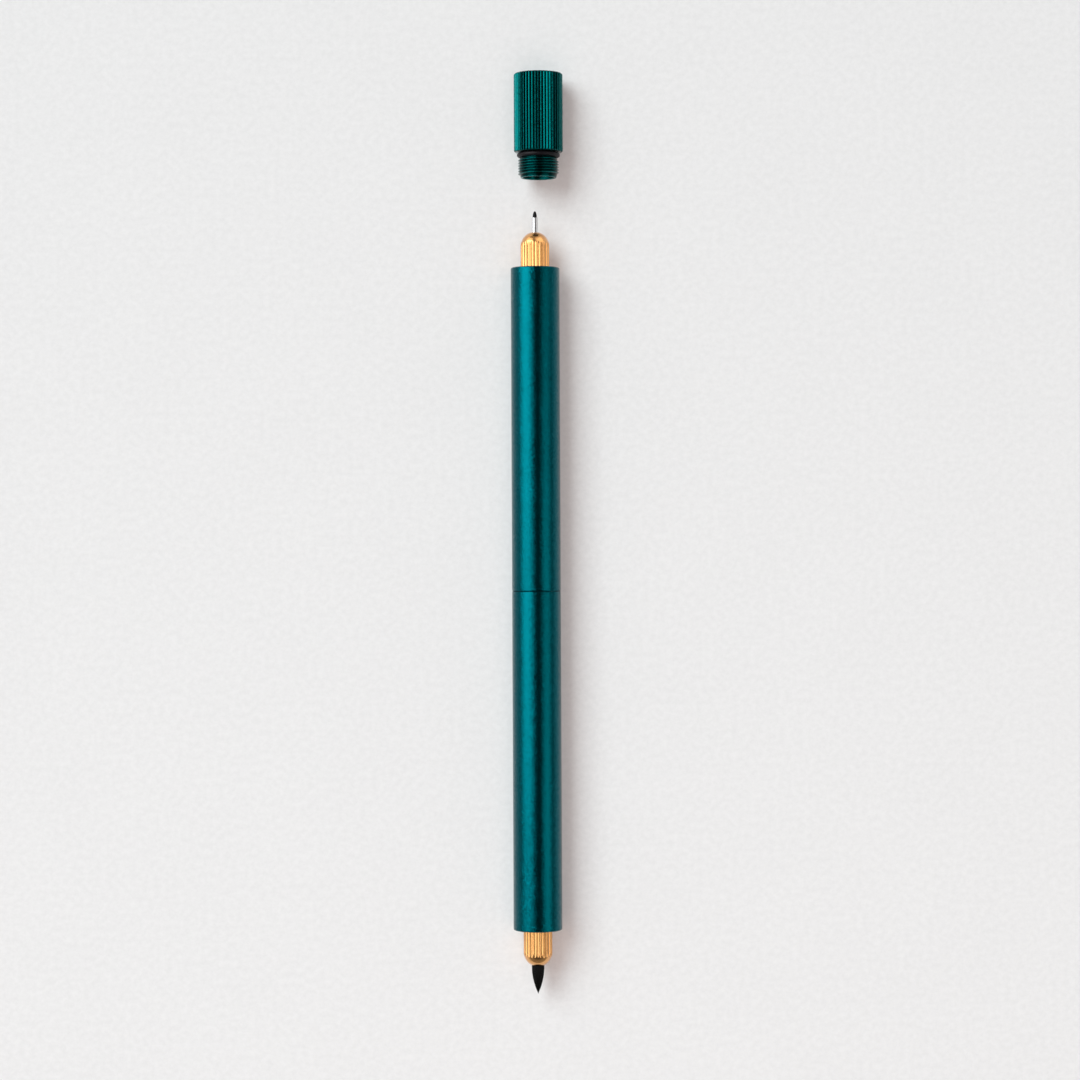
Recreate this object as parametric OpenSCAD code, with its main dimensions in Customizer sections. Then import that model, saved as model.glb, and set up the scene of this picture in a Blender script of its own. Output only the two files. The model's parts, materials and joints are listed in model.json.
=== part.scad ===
// Double-ended pen with a fineliner at one end and a brush at the other, and its screw cap.
// It lies on a table, uncapped: +Y points along the pen to the cap, +Z up.
// The origin is on the table, under the pen's axis, half way along the whole layout.

/* [Barrel] */
// Outside diameter of both barrels and of the cap
barrel_d = 9; // [8.6:0.1:14]
// Length of the barrel that holds the fineliner
upper_barrel_len = 59.7; // [56:0.1:90]
// Length of the barrel that holds the brush
lower_barrel_len = 62.5; // [58:0.1:90]
// Wall left around the ring seat in a barrel mouth
mouth_wall = 0.45; // [0.3:0.05:0.6]
// Step from the thread in a barrel mouth down to the main bore
bore_step = 0.3; // [0.2:0.05:0.45]
// Chamfer on the barrels' outer ends
barrel_edge = 0.12; // [0.05:0.01:0.25]
// Hairline gap between shoulders that are screwed together
shut_gap = 0.1; // [0.05:0.01:0.2]

/* [Screw threads] */
// Thread pitch
thread_pitch = 0.5; // [0.4:0.05:0.6]
// Length of the screw threads in turns
thread_turns = 6; // [4:1:8]
// Radial step from the ring seat in to the thread's crest
thread_step = 0.3; // [0.25:0.05:0.4]
// Radial clearance between screw and nut
thread_clearance = 0.12; // [0.1:0.01:0.15]
// Length of the plain cone at the end of a screw spigot
spigot_cone_len = 0.7; // [0.4:0.05:1.2]
// Radial taper of that cone
spigot_cone_taper = 0.16; // [0.08:0.02:0.24]

/* [Sealing rings] */
// Section diameter of the rings on the screw spigots
ring_d = 0.86; // [0.7:0.02:0.92]
// Free length beside such a ring on its neck
ring_play = 0.17; // [0.1:0.01:0.3]
// Radial clearance between ring and seat
ring_clearance = 0.07; // [0.04:0.01:0.12]
// Section diameter of the rings on the noses
nose_ring_d = 0.6; // [0.4:0.05:0.8]

/* [Cap] */
// Length of the ribbed body
cap_body_len = 14.55; // [14:0.05:24]
// Thickness of the closed end
cap_end_wall = 1.2; // [0.8:0.1:1.6]
// Wall of the neck under the cap's ring
neck_wall = 0.2; // [0.15:0.01:0.3]
// Number of grooves around the body
cap_grooves = 48; // [24:1:56]
// Depth of the grooves
cap_groove_depth = 0.2; // [0.1:0.02:0.24]
// Chamfer on the cap's edges
cap_edge = 0.22; // [0.1:0.02:0.4]
// Gap from the cap's mouth to the barrel's mouth, as laid out
cap_gap = 16.6; // [12:0.1:40]
// Sideways shift of the cap from the pen's axis, as laid out
cap_shift = 0.72; // [0:0.02:0.9]

/* [Inner cap] */
// Wall of the inner cap's top
inner_cap_top = 0.5; // [0.4:0.05:0.7]
// Room above the nib's point
inner_cap_headroom = 0.4; // [0.3:0.05:0.6]
// Gap between the seated inner cap and the nose
inner_cap_gap = 0.1; // [0.06:0.01:0.15]
// Radius of the cavity around the needle
inner_cap_cavity_r = 1.1; // [0.9:0.05:1.5]
// Step of the bore that keeps the inner cap in
inner_cap_lip = 0.15; // [0.1:0.01:0.25]
// Thickness of the inner cap's flange
inner_cap_flange = 0.6; // [0.4:0.05:0.8]
// Gap between the inner cap and the cap's bore
inner_cap_clearance = 0.1; // [0.08:0.01:0.15]
// Width of the inner cap's flat rim
inner_cap_rim = 0.5; // [0.3:0.05:0.7]
// Gap between the spring and the cap's bore
spring_clearance = 0.35; // [0.2:0.05:0.5]
// Wire diameter of the spring
spring_wire = 0.3; // [0.2:0.02:0.36]
// Coils of the spring
spring_coils = 5; // [4:0.5:6]

/* [Noses] */
// How far the noses stand out of the barrels
nose_reach = 6.5; // [5.5:0.1:7.5]
// Gap between a nose and the cap around it
nose_clearance = 0.25; // [0.2:0.01:0.3]
// Length of the nose's body in the barrel
nose_body_len = 9; // [7:0.5:12]
// Flutes around a nose
flutes = 28; // [12:1:30]
// Depth of the flutes
flute_depth = 0.11; // [0.05:0.01:0.16]
// Radius of the flutes
flute_r = 0.38; // [0.3:0.02:0.44]
// Diameter of the flat at the fineliner nose's end
fineliner_flat_d = 1.8; // [1.5:0.1:2.2]
// Thickness of a nose behind its end flat
nose_tip_wall = 2; // [1.5:0.1:3]
// Wall of a nose's body around the holder's collar
nose_body_wall = 1.05; // [0.95:0.05:1.3]

/* [Fineliner] */
// Outside diameter of the needle sleeve
needle_d = 1.09; // [0.95:0.01:1.3]
// Length of the needle sleeve in front of the nose
needle_reach = 2.77; // [2:0.05:3.2]
// Diameter of the fibre nib
nib_d = 0.77; // [0.4:0.01:0.8]
// Length of the nib in front of the needle sleeve
nib_reach = 1.17; // [0.8:0.01:1.5]
// How far the needle sleeve reaches in behind the barrel's mouth
needle_tail = 3; // [1:0.5:5]

/* [Brush] */
// Diameter of the brush at its root
brush_d = 2.32; // [1.6:0.02:2.4]
// Length of the brush in front of the nose
brush_reach = 5.34; // [4.5:0.02:8]
// Length of the brush's pointed part
brush_point_len = 5; // [3.5:0.1:5.3]

/* [Refills] */
// How far the nib and the brush reach in behind the barrel's mouth
tip_tail = 6; // [5.5:0.1:8]
// Wall of a tip holder's stem around the brush
holder_wall = 0.3; // [0.2:0.05:0.5]
// Wall of a tip holder's tail around the wick
tail_wall = 0.75; // [0.4:0.05:1]
// Length of a tip holder's tail behind the nose
tail_len = 5; // [3:0.5:8]
// Diameter of a wick
wick_d = 1.6; // [1:0.1:2]
// Length of a wick in its reservoir
wick_overlap = 6; // [3:0.5:12]
// Wall of a cartridge
cartridge_wall = 0.4; // [0.3:0.05:0.6]
// Thickness of a cartridge's front end
cartridge_front_wall = 1.5; // [1:0.1:3]
// Gap between a cartridge and the barrel
cartridge_clearance = 0.3; // [0.1:0.05:0.5]
// Gap in front of and behind a cartridge
cartridge_gap = 0.5; // [0.3:0.1:3]
// Gap around a reservoir
felt_gap = 0.1; // [0.05:0.01:0.2]
// Length of a cartridge plug in the tube
plug_len = 3; // [2:0.5:6]
// Thickness of a cartridge plug's flange
plug_flange = 1.2; // [0.8:0.1:2]
// Length of the centre joiner in the upper barrel
joiner_len = 8.5; // [5:0.5:12]

/* [Fits] */
// Thin fit between pieces that stay together
fit = 0.02; // [0.01:0.01:0.03]
// Gap for a bond or an easy fit
bond = 0.05; // [0.03:0.01:0.06]
// Chamfer on small edges
small_edge = 0.15; // [0.08:0.01:0.2]

/* [Hidden] */

$fn = 96;

// How far a cutter runs past what it cuts
cut = 1;

// Radii, from the outside in
barrel_r = barrel_d / 2;
seat_r = barrel_r - mouth_wall;
ring_outer_r = seat_r - ring_clearance;
ring_mid_r = ring_outer_r - ring_d / 2;
neck_r = ring_outer_r - ring_d - fit;
cap_bore_r = neck_r - neck_wall;
nose_r = cap_bore_r - nose_clearance;

// Thread profile with 60 degree flanks and a flat crest of an eighth of the pitch
thread_sides = 32;
thread_depth_share = 0.54;
thread_depth = thread_depth_share * thread_pitch;
thread_flank = thread_depth * tan(30);
thread_crest = thread_pitch / 8;
thread_fade = 0.5;
thread_least = 0.02;
screw_crest_r = seat_r - thread_step;
screw_root_r = screw_crest_r - thread_depth;
nut_crest_r = screw_crest_r + thread_clearance;
nut_root_r = screw_root_r + thread_clearance;
thread_len = thread_turns * thread_pitch;
spigot_core_r = screw_root_r * cos(180 / thread_sides) - fit;
ring_neck_len = ring_d + ring_play;
spigot_len = ring_neck_len + thread_len + spigot_cone_len;
seat_depth = spigot_len + thread_pitch;

// Barrels: the seam between them is at z = 0 of the pen's own axis
bore_r = nut_root_r - bore_step;
upper_seam_z = shut_gap / 2;
lower_seam_z = -shut_gap / 2;
upper_mouth_z = upper_seam_z + upper_barrel_len;
lower_mouth_z = lower_seam_z - lower_barrel_len;
joiner_r = screw_root_r;
joiner_bore_r = joiner_r + bond;

// Noses, measured from a barrel's mouth with the tip up
nose_body_r = bore_r - bond;
nose_front = seat_depth + thread_pitch / 2;
nose_back = nose_front + nose_body_len;
nose_ring_outer_r = bore_r - fit;
nose_ring_groove = nose_ring_d + 2 * bond;
nose_ring_z = -nose_front - nose_body_len / 4;
needle_hole_r = needle_d / 2 + fit;
nib_hole_r = nib_d / 2 + fit;
brush_hole_r = brush_d / 2 + fit;
brush_flat_r = brush_hole_r + bond;
fineliner_flat_r = fineliner_flat_d / 2;
stem_r = brush_hole_r + holder_wall;
stem_bore_r = stem_r + fit;
stem_top = nose_reach - nose_tip_wall;
collar_bore_r = nose_body_r - nose_body_wall;
collar_front = nose_front + nose_body_len / 3;

// Refills, behind the noses; both cartridges have the length that fits the shorter barrel
wick_front = tip_tail + bond;
wick_r = wick_d / 2;
wick_hole_r = wick_r + bond;
tail_r = wick_hole_r + tail_wall;
cartridge_front = nose_back + cartridge_gap;
upper_room = upper_barrel_len - joiner_len - bond;
lower_room = lower_barrel_len - seat_depth;
cartridge_back = min(upper_room, lower_room) - cartridge_gap;
cartridge_r = bore_r - cartridge_clearance;
cartridge_bore_r = cartridge_r - cartridge_wall;
reservoir_r = cartridge_bore_r - felt_gap;
reservoir_front = nose_back + tail_len + felt_gap;
reservoir_back = cartridge_back - plug_flange - plug_len - felt_gap;
wick_back = reservoir_front + wick_overlap;

// Steps along the points of the nib and the brush
tip_steps = 14;

// Cap: its own frame has the shoulder at z = 0, the spigot below it and the ribs above it
cap_turns = thread_turns + 1;
cap_travel = cap_turns * thread_pitch;
cap_z = upper_mouth_z + cap_gap + spigot_len;
cap_top_z = cap_z + cap_body_len;
cap_bore_end = cap_body_len - cap_end_wall;
dome_z = nose_reach - sqrt(nose_r * nose_r - fineliner_flat_r * fineliner_flat_r);
nib_point_z = nose_reach + needle_reach + nib_reach;

// Inner cap, at rest, from the dome's place in the seated cap less the cap's screw travel
inner_cap_z = dome_z - shut_gap - cap_travel;
inner_cap_r = cap_bore_r - inner_cap_clearance;
inner_cap_seat_r = nose_r + inner_cap_gap;
inner_cap_rim_z = sqrt(pow(inner_cap_seat_r, 2) - pow(inner_cap_r - inner_cap_rim, 2));
inner_cap_roof_z = nib_point_z - dome_z + inner_cap_headroom;
inner_cap_back_z = inner_cap_roof_z + inner_cap_top;
inner_cap_flange_r = cap_bore_r + inner_cap_lip / 2;
lip_z = inner_cap_z + inner_cap_back_z - inner_cap_flange - bond;
spring_z = inner_cap_z + inner_cap_back_z + bond;
spring_len = cap_bore_end - bond - spring_z;
spring_r = cap_bore_r - spring_clearance - spring_wire / 2;
spring_rise = (spring_len - spring_wire) / spring_coils;
spring_rings = 16;
spring_sides = 6;

// Half way along the whole layout, from the brush's point to the cap's end
brush_point_z = lower_mouth_z - nose_reach - brush_reach;
middle_z = (cap_top_z + brush_point_z) / 2;

teal = [0.0, 0.37, 0.41];
brass = [0.85, 0.62, 0.28];
steel = [0.75, 0.75, 0.76];
black = [0.06, 0.06, 0.07];
felt = [0.16, 0.17, 0.22];
clear_plastic = [0.86, 0.88, 0.88];
white_plastic = [0.93, 0.92, 0.89];

// Lays what is drawn upright around the pen's axis on the table
module on_table(x = 0) {
    translate([x, -middle_z, barrel_r])
        rotate([-90, 0, 0])
            children();
}

// Frame of a barrel's mouth, with the tip up
module at_fineliner_end() {
    on_table()
        translate([0, 0, upper_mouth_z])
            children();
}

module at_brush_end() {
    on_table()
        translate([0, 0, lower_mouth_z])
            rotate([180, 0, 0])
                children();
}

module at_cap() {
    on_table(cap_shift)
        translate([0, 0, cap_z])
            children();
}

// A plain cylinder from one height to another
module rod(r, from, to) {
    translate([0, 0, from])
        cylinder(r = r, h = to - from);
}

// A cone from one height to another
module cone(r_from, r_to, from, to) {
    translate([0, 0, from])
        cylinder(r1 = r_from, r2 = r_to, h = to - from);
}

// A round bar with both ends chamfered
module chamfered_rod(r, from, to, edge) {
    rotate_extrude()
        polygon([[0, from], [r - edge, from], [r, from + edge],
                 [r, to - edge], [r - edge, to], [0, to]]);
}

module ring(mid_r, section_d, z) {
    translate([0, 0, z])
        rotate_extrude()
            translate([mid_r, 0])
                circle(d = section_d, $fn = 48);
}

// A core with a right-hand thread, from z = 0 up. At angle 0 a crest stands half a pitch up.
module threaded_core(root_r, crest_r, turns) {
    n = thread_sides;
    last = (turns - 1) * n;
    start_z = (thread_pitch - 2 * thread_flank - thread_crest) / 2;
    heights = [0, thread_flank, thread_flank + thread_crest, 2 * thread_flank + thread_crest];
    ridge = [for (i = [0:last], k = [0:3])
        let (grown = min(1, i / (n * thread_fade), (last - i) / (n * thread_fade)),
             full = max(thread_least, (crest_r - root_r) * grown),
             r = (k == 0 || k == 3) ? root_r : root_r + full,
             a = 360 * i / n)
        [r * cos(a), r * sin(a), start_z + thread_pitch * i / n + heights[k]]];
    ends = [for (z = [0, turns * thread_pitch], j = [0:n - 1])
        [root_r * cos(360 * j / n), root_r * sin(360 * j / n), z]];
    low = len(ridge);
    high = low + n;
    function at(i, k) = 4 * i + k;
    flanks = [for (i = [0:last - 1], k = [0:2:2], half = [0, 1])
        half == 0 ? [at(i, k), at(i, k + 1), at(i + 1, k + 1)]
                  : [at(i, k), at(i + 1, k + 1), at(i + 1, k)]];
    crests = [for (i = [0:last - 1]) [at(i, 1), at(i, 2), at(i + 1, 2), at(i + 1, 1)]];
    roots = [for (i = [0:last - n - 1])
        [at(i, 3), at(i + n, 0), at(i + n + 1, 0), at(i + 1, 3)]];
    skirt = [for (j = [0:n - 2]) [low + j, at(j, 0), at(j + 1, 0), low + j + 1]];
    skirt_rim = [low, at(0, 0), at(0, 3), at(n, 0)];
    skirt_end = [for (j = [0:3])
        j == 0 ? [low + n - 1, at(n - 1, 0), low] : [at(n - 1, 0), skirt_rim[j], skirt_rim[j - 1]]];
    top_i = last - n;
    brim_rim = [at(top_i, 3), at(last, 0), at(last, 3), high];
    brim_start = [for (j = [0:3])
        j == 3 ? [high, high + 1, at(top_i + 1, 3)] : [brim_rim[j], brim_rim[j + 1], at(top_i + 1, 3)]];
    brim = [for (j = [1:n - 1])
        [at(top_i + j, 3), high + j, high + (j + 1) % n, at(top_i + j + 1, 3)]];
    faces = concat(flanks, crests, roots, skirt, skirt_end, brim_start, brim,
                   [[at(0, 0), at(0, 3), at(0, 2), at(0, 1)]],
                   [[at(last, 0), at(last, 1), at(last, 2), at(last, 3)]],
                   [[for (j = [0:n - 1]) low + j]],
                   [[for (j = [n - 1:-1:0]) high + j]]);
    polyhedron(points = concat(ridge, ends), faces = faces, convexity = 10);
}

// Screw spigot below a shoulder at z = 0, without its bore
module spigot() {
    thread_top = -ring_neck_len;
    thread_low = thread_top - thread_len;
    rod(neck_r, thread_top - thread_pitch, 0);
    translate([0, 0, thread_low])
        threaded_core(screw_root_r, screw_crest_r, thread_turns);
    rod(spigot_core_r, thread_low, thread_low + thread_pitch);
    cone(spigot_core_r - spigot_cone_taper, spigot_core_r, -spigot_len, thread_low);
}

// What a barrel's mouth at z = 0 loses to take a spigot: ring seat, thread and runout
module spigot_seat() {
    seat_floor = shut_gap - ring_neck_len;
    rod(seat_r, seat_floor, cut);
    cone(seat_r, seat_r + small_edge, -small_edge, fit);
    translate([0, 0, seat_floor - thread_len - 2 * thread_pitch])
        threaded_core(nut_root_r, nut_crest_r, thread_turns + 3);
    rod(bore_r, -seat_depth - cut, cut);
}

// Fluted nose in the frame of a barrel's mouth, with its tip up
module nose(hole_r, flat_r) {
    end_z = nose_reach;
    round_z = end_z - sqrt(nose_r * nose_r - flat_r * flat_r);
    groove_half = nose_ring_groove / 2;
    difference() {
        union() {
            rotate_extrude() {
                translate([0, -nose_front])
                    square([nose_r, nose_front + round_z]);
                intersection() {
                    translate([0, round_z])
                        circle(r = nose_r);
                    translate([0, round_z])
                        square([2 * nose_r, end_z - round_z]);
                }
            }
            chamfered_rod(nose_body_r, -nose_back, -nose_front, small_edge);
        }
        for (i = [0:flutes - 1])
            rotate(360 * i / flutes)
                translate([nose_r - flute_depth + flute_r, 0, 0])
                    rod(flute_r, small_edge - nose_front, end_z + cut);
        rod(hole_r, stem_top - cut, end_z + cut);
        rod(stem_bore_r, -collar_front - cut, stem_top);
        rod(collar_bore_r, -nose_back - cut, -collar_front);
        difference() {
            rod(nose_body_r + cut, nose_ring_z - groove_half, nose_ring_z + groove_half);
            rod(nose_ring_outer_r - nose_ring_d - fit, nose_ring_z - cut, nose_ring_z + cut);
        }
    }
}

module nose_o_ring() {
    ring(nose_ring_outer_r - nose_ring_d / 2, nose_ring_d, nose_ring_z);
}

// Plug in a nose that holds a tip with a tail in a hole, and the wick behind it
module tip_holder(hole_r, hole_depth, tail_hole_r) {
    difference() {
        union() {
            rod(stem_r, -collar_front - bond, stem_top - bond);
            rod(collar_bore_r - fit, -nose_back, -collar_front - bond);
            rod(tail_r, -nose_back - tail_len, -nose_back + fit);
        }
        rod(hole_r, -hole_depth, stem_top + cut);
        rod(tail_hole_r, -tip_tail - cut, 0);
        rod(wick_hole_r, -nose_back - tail_len - cut, -tip_tail);
    }
}

module wick() {
    chamfered_rod(wick_r, -wick_back, -wick_front, small_edge);
}

module cartridge() {
    inner_front = cartridge_front + cartridge_front_wall;
    difference() {
        chamfered_rod(cartridge_r, plug_flange + bond - cartridge_back, -cartridge_front, small_edge);
        rod(cartridge_bore_r, -cartridge_back - cut, -inner_front);
        rod(tail_r + bond, -inner_front - cut, -cartridge_front + cut);
    }
}

module reservoir() {
    difference() {
        chamfered_rod(reservoir_r, -reservoir_back, -reservoir_front, small_edge);
        rod(wick_hole_r, -wick_back - bond, -reservoir_front + cut);
    }
}

module cartridge_plug() {
    flange_z = plug_flange - cartridge_back;
    chamfered_rod(cartridge_r, -cartridge_back, flange_z, small_edge);
    rod(cartridge_bore_r - fit, flange_z - fit, flange_z + plug_len);
}

// Coil of round wire standing on z = 0
module coil(mid_r, wire_d, coils, rise) {
    steps = coils * spring_rings;
    m = spring_sides;
    points = [for (i = [0:steps], k = [0:m - 1])
        let (a = 360 * i / spring_rings,
             b = 360 * k / m,
             r = mid_r + wire_d / 2 * cos(b))
        [r * cos(a), r * sin(a), wire_d / 2 * (1 + sin(b)) + rise * i / spring_rings]];
    sides = [for (i = [0:steps - 1], k = [0:m - 1], half = [0, 1])
        let (here = i * m, next = here + m, other = (k + 1) % m)
        half == 0 ? [here + k, here + other, next + other]
                  : [here + k, next + other, next + k]];
    ends = [[for (k = [m - 1:-1:0]) k], [for (k = [0:m - 1]) steps * m + k]];
    polyhedron(points = points, faces = concat(sides, ends), convexity = 10);
}

module upper_barrel() {
    color(teal)
        on_table()
            difference() {
                chamfered_rod(barrel_r, upper_seam_z, upper_mouth_z, barrel_edge);
                rod(bore_r, upper_seam_z - cut, upper_mouth_z + cut);
                rod(joiner_bore_r, upper_seam_z - cut, upper_seam_z + joiner_len + bond);
                translate([0, 0, upper_mouth_z])
                    spigot_seat();
            }
}

module lower_barrel() {
    color(teal)
        on_table()
            difference() {
                chamfered_rod(barrel_r, lower_mouth_z, lower_seam_z, barrel_edge);
                rod(bore_r, lower_mouth_z - cut, lower_seam_z + cut);
                translate([0, 0, lower_seam_z])
                    spigot_seat();
                translate([0, 0, lower_mouth_z])
                    rotate([180, 0, 0])
                        spigot_seat();
            }
}

module centre_joiner() {
    color(steel)
        on_table()
            translate([0, 0, upper_seam_z])
                difference() {
                    union() {
                        spigot();
                        chamfered_rod(joiner_r, 0, joiner_len, small_edge);
                    }
                    rod(cap_bore_r, -spigot_len - cut, joiner_len + cut);
                }
}

module joint_o_ring() {
    color(black)
        on_table()
            ring(ring_mid_r, ring_d, upper_seam_z - ring_neck_len / 2);
}

module fineliner_nose() {
    color(brass)
        at_fineliner_end()
            nose(needle_hole_r, fineliner_flat_r);
}

module fineliner_nose_o_ring() {
    color(black)
        at_fineliner_end()
            nose_o_ring();
}

module nib_holder() {
    color(white_plastic)
        at_fineliner_end()
            tip_holder(needle_hole_r, needle_tail, nib_hole_r);
}

module needle_sleeve() {
    tip_z = nose_reach + needle_reach;
    color(steel)
        at_fineliner_end()
            difference() {
                chamfered_rod(needle_d / 2, bond - needle_tail, tip_z, bond);
                rod(nib_hole_r, -needle_tail - cut, tip_z + cut);
            }
}

// The point is half an ellipse that starts at the needle sleeve's end
module fineliner_nib() {
    root_z = nose_reach + needle_reach;
    side = [for (i = [0:tip_steps])
        let (a = 90 * i / tip_steps)
        [nib_d / 2 * cos(a), root_z + nib_reach * sin(a)]];
    color(black)
        at_fineliner_end()
            rotate_extrude()
                polygon(concat([[0, -tip_tail], [nib_d / 2, -tip_tail]], side));
}

module fineliner_wick() {
    color(felt)
        at_fineliner_end()
            wick();
}

module fineliner_cartridge() {
    color(clear_plastic)
        at_fineliner_end()
            cartridge();
}

module fineliner_reservoir() {
    color(felt)
        at_fineliner_end()
            reservoir();
}

module fineliner_cartridge_plug() {
    color(white_plastic)
        at_fineliner_end()
            cartridge_plug();
}

module brush_nose() {
    color(brass)
        at_brush_end()
            nose(brush_hole_r, brush_flat_r);
}

module brush_nose_o_ring() {
    color(black)
        at_brush_end()
            nose_o_ring();
}

module brush_holder() {
    color(white_plastic)
        at_brush_end()
            tip_holder(brush_hole_r, tip_tail, brush_hole_r);
}

// The point is an ogive: an arc that runs into the straight root
module brush_tip() {
    root_r = brush_d / 2;
    arc_r = (root_r * root_r + brush_point_len * brush_point_len) / brush_d;
    root_z = nose_reach + brush_reach - brush_point_len;
    side = [for (i = [0:tip_steps])
        let (z = brush_point_len * i / tip_steps)
        [max(0, sqrt(arc_r * arc_r - z * z) - arc_r + root_r), root_z + z]];
    color(black)
        at_brush_end()
            rotate_extrude()
                polygon(concat([[0, bond - tip_tail], [root_r, bond - tip_tail]], side));
}

module brush_wick() {
    color(felt)
        at_brush_end()
            wick();
}

module brush_cartridge() {
    color(clear_plastic)
        at_brush_end()
            cartridge();
}

module brush_reservoir() {
    color(felt)
        at_brush_end()
            reservoir();
}

module brush_cartridge_plug() {
    color(white_plastic)
        at_brush_end()
            cartridge_plug();
}

module cap_shell() {
    groove_z = -cut;
    groove_top_z = cap_body_len + cut;
    groove_half = cap_groove_depth + bond;
    color(teal)
        at_cap()
            difference() {
                union() {
                    spigot();
                    difference() {
                        chamfered_rod(barrel_r, 0, cap_body_len, cap_edge);
                        for (i = [0:cap_grooves - 1])
                            rotate(360 * (i + 0.5) / cap_grooves)
                                translate([barrel_r, 0, groove_z])
                                    linear_extrude(groove_top_z - groove_z)
                                        polygon([[-cap_groove_depth, 0], [bond, -groove_half],
                                                 [bond, groove_half]]);
                    }
                }
                rod(cap_bore_r, -spigot_len - cut, cap_bore_end);
                rod(cap_bore_r + inner_cap_lip, lip_z, cap_bore_end);
                cone(cap_bore_r + small_edge, cap_bore_r, -spigot_len - fit, small_edge - spigot_len);
            }
}

module cap_o_ring() {
    color(black)
        at_cap()
            ring(ring_mid_r, ring_d, -ring_neck_len / 2);
}

module inner_cap() {
    color(white_plastic)
        at_cap()
            translate([0, 0, inner_cap_z])
                rotate_extrude()
                    difference() {
                        union() {
                            translate([0, inner_cap_rim_z])
                                square([inner_cap_r, inner_cap_back_z - inner_cap_rim_z]);
                            translate([0, inner_cap_back_z - inner_cap_flange])
                                square([inner_cap_flange_r, inner_cap_flange]);
                        }
                        circle(r = inner_cap_seat_r);
                        square([inner_cap_cavity_r, inner_cap_roof_z]);
                    }
}

module cap_spring() {
    color(steel)
        at_cap()
            translate([0, 0, spring_z])
                coil(spring_r, spring_wire, spring_coils, spring_rise);
}

upper_barrel();
lower_barrel();
centre_joiner();
joint_o_ring();
fineliner_nose();
fineliner_nose_o_ring();
nib_holder();
needle_sleeve();
fineliner_nib();
fineliner_wick();
fineliner_cartridge();
fineliner_reservoir();
fineliner_cartridge_plug();
brush_nose();
brush_nose_o_ring();
brush_holder();
brush_tip();
brush_wick();
brush_cartridge();
brush_reservoir();
brush_cartridge_plug();
cap_shell();
cap_o_ring();
inner_cap();
cap_spring();
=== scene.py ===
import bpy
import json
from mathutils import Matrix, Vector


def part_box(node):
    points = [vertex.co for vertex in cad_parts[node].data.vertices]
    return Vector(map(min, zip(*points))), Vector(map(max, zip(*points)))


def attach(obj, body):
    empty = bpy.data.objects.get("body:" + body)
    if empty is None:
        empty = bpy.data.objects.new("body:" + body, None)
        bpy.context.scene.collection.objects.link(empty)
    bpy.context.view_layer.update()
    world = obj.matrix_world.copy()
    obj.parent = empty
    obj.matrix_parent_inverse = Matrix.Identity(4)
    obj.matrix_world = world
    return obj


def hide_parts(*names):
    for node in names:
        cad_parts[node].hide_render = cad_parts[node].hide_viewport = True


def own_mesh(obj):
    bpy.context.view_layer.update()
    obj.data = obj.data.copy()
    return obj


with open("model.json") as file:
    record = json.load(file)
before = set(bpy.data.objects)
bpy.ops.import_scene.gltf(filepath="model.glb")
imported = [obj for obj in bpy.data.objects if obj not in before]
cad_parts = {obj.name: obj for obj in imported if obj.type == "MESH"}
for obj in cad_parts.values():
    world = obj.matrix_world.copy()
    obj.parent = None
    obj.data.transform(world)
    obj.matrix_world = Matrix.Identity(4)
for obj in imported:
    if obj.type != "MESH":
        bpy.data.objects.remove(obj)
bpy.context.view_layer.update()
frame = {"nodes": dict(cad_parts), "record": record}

import json
import math

import bmesh
import bpy

print("frame loaded:", len(frame["nodes"]), "nodes")

# Sizes below are in millimetres, along the row's Y axis, unless a note says otherwise
mm = 0.001


def spanOf(node):
    low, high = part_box(node)
    return low.y / mm, high.y / mm


def radiusOf(node):
    low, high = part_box(node)
    return (high.z - low.z) / 2 / mm


# The layout, from the frame
penRadius = radiusOf("cap_shell")
upperSeam, upperMouth = spanOf("upper_barrel")
lowerMouth, lowerSeam = spanOf("lower_barrel")
capMouth, capTop = spanOf("cap_shell")
penAxis = (0.0, penRadius)  # x and z of a turned piece's centre line
capAxis = (sum(corner.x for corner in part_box("cap_shell")) / 2 / mm, penRadius)


# Turned shapes: an outline of corners is spun around the pen's axis
poleRadius = 1e-6


def corner(radius, along, soft=0.0, rule="", rows=1):
    return {"radius": radius, "along": along, "soft": soft, "rule": rule, "rows": rows}


def arcCorners(centre, radius, fromAngle, toAngle, cuts, rule="", heading=1):
    angles = [fromAngle + (toAngle - fromAngle) * cut / cuts for cut in range(cuts + 1)]
    return [corner(radius * math.cos(math.radians(angle)),
                   centre + heading * radius * math.sin(math.radians(angle)), rule=rule)
            for angle in angles]


def towards(here, there, distance):
    reach = math.hypot(there["radius"] - here["radius"], there["along"] - here["along"])
    share = min(0.5, distance / reach)
    return (here["radius"] + (there["radius"] - here["radius"]) * share,
            here["along"] + (there["along"] - here["along"]) * share)


def outlineRows(corners, closed, softCuts=4):
    rows = []
    for index, here in enumerate(corners):
        after = corners[(index + 1) % len(corners)]
        point = (here["radius"], here["along"])
        if here["soft"] and (closed or 0 < index < len(corners) - 1):
            start = towards(here, corners[index - 1], here["soft"])
            end = towards(here, after, here["soft"])
            for cut in range(softCuts + 1):
                t = cut / softCuts
                bend = [(1 - t) ** 2 * a + 2 * t * (1 - t) * b + t * t * c
                        for a, b, c in zip(start, point, end)]
                rows.append((bend[0], bend[1], here["rule"]))
        else:
            rows.append((point[0], point[1], here["rule"]))
        cuts = min(here["rows"], after["rows"])  # a span is divided where both its ends ask for it
        for row in range(1, cuts):
            share = row / cuts
            rows.append((here["radius"] + (after["radius"] - here["radius"]) * share,
                         here["along"] + (after["along"] - here["along"]) * share, here["rule"]))
    return rows


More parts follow.
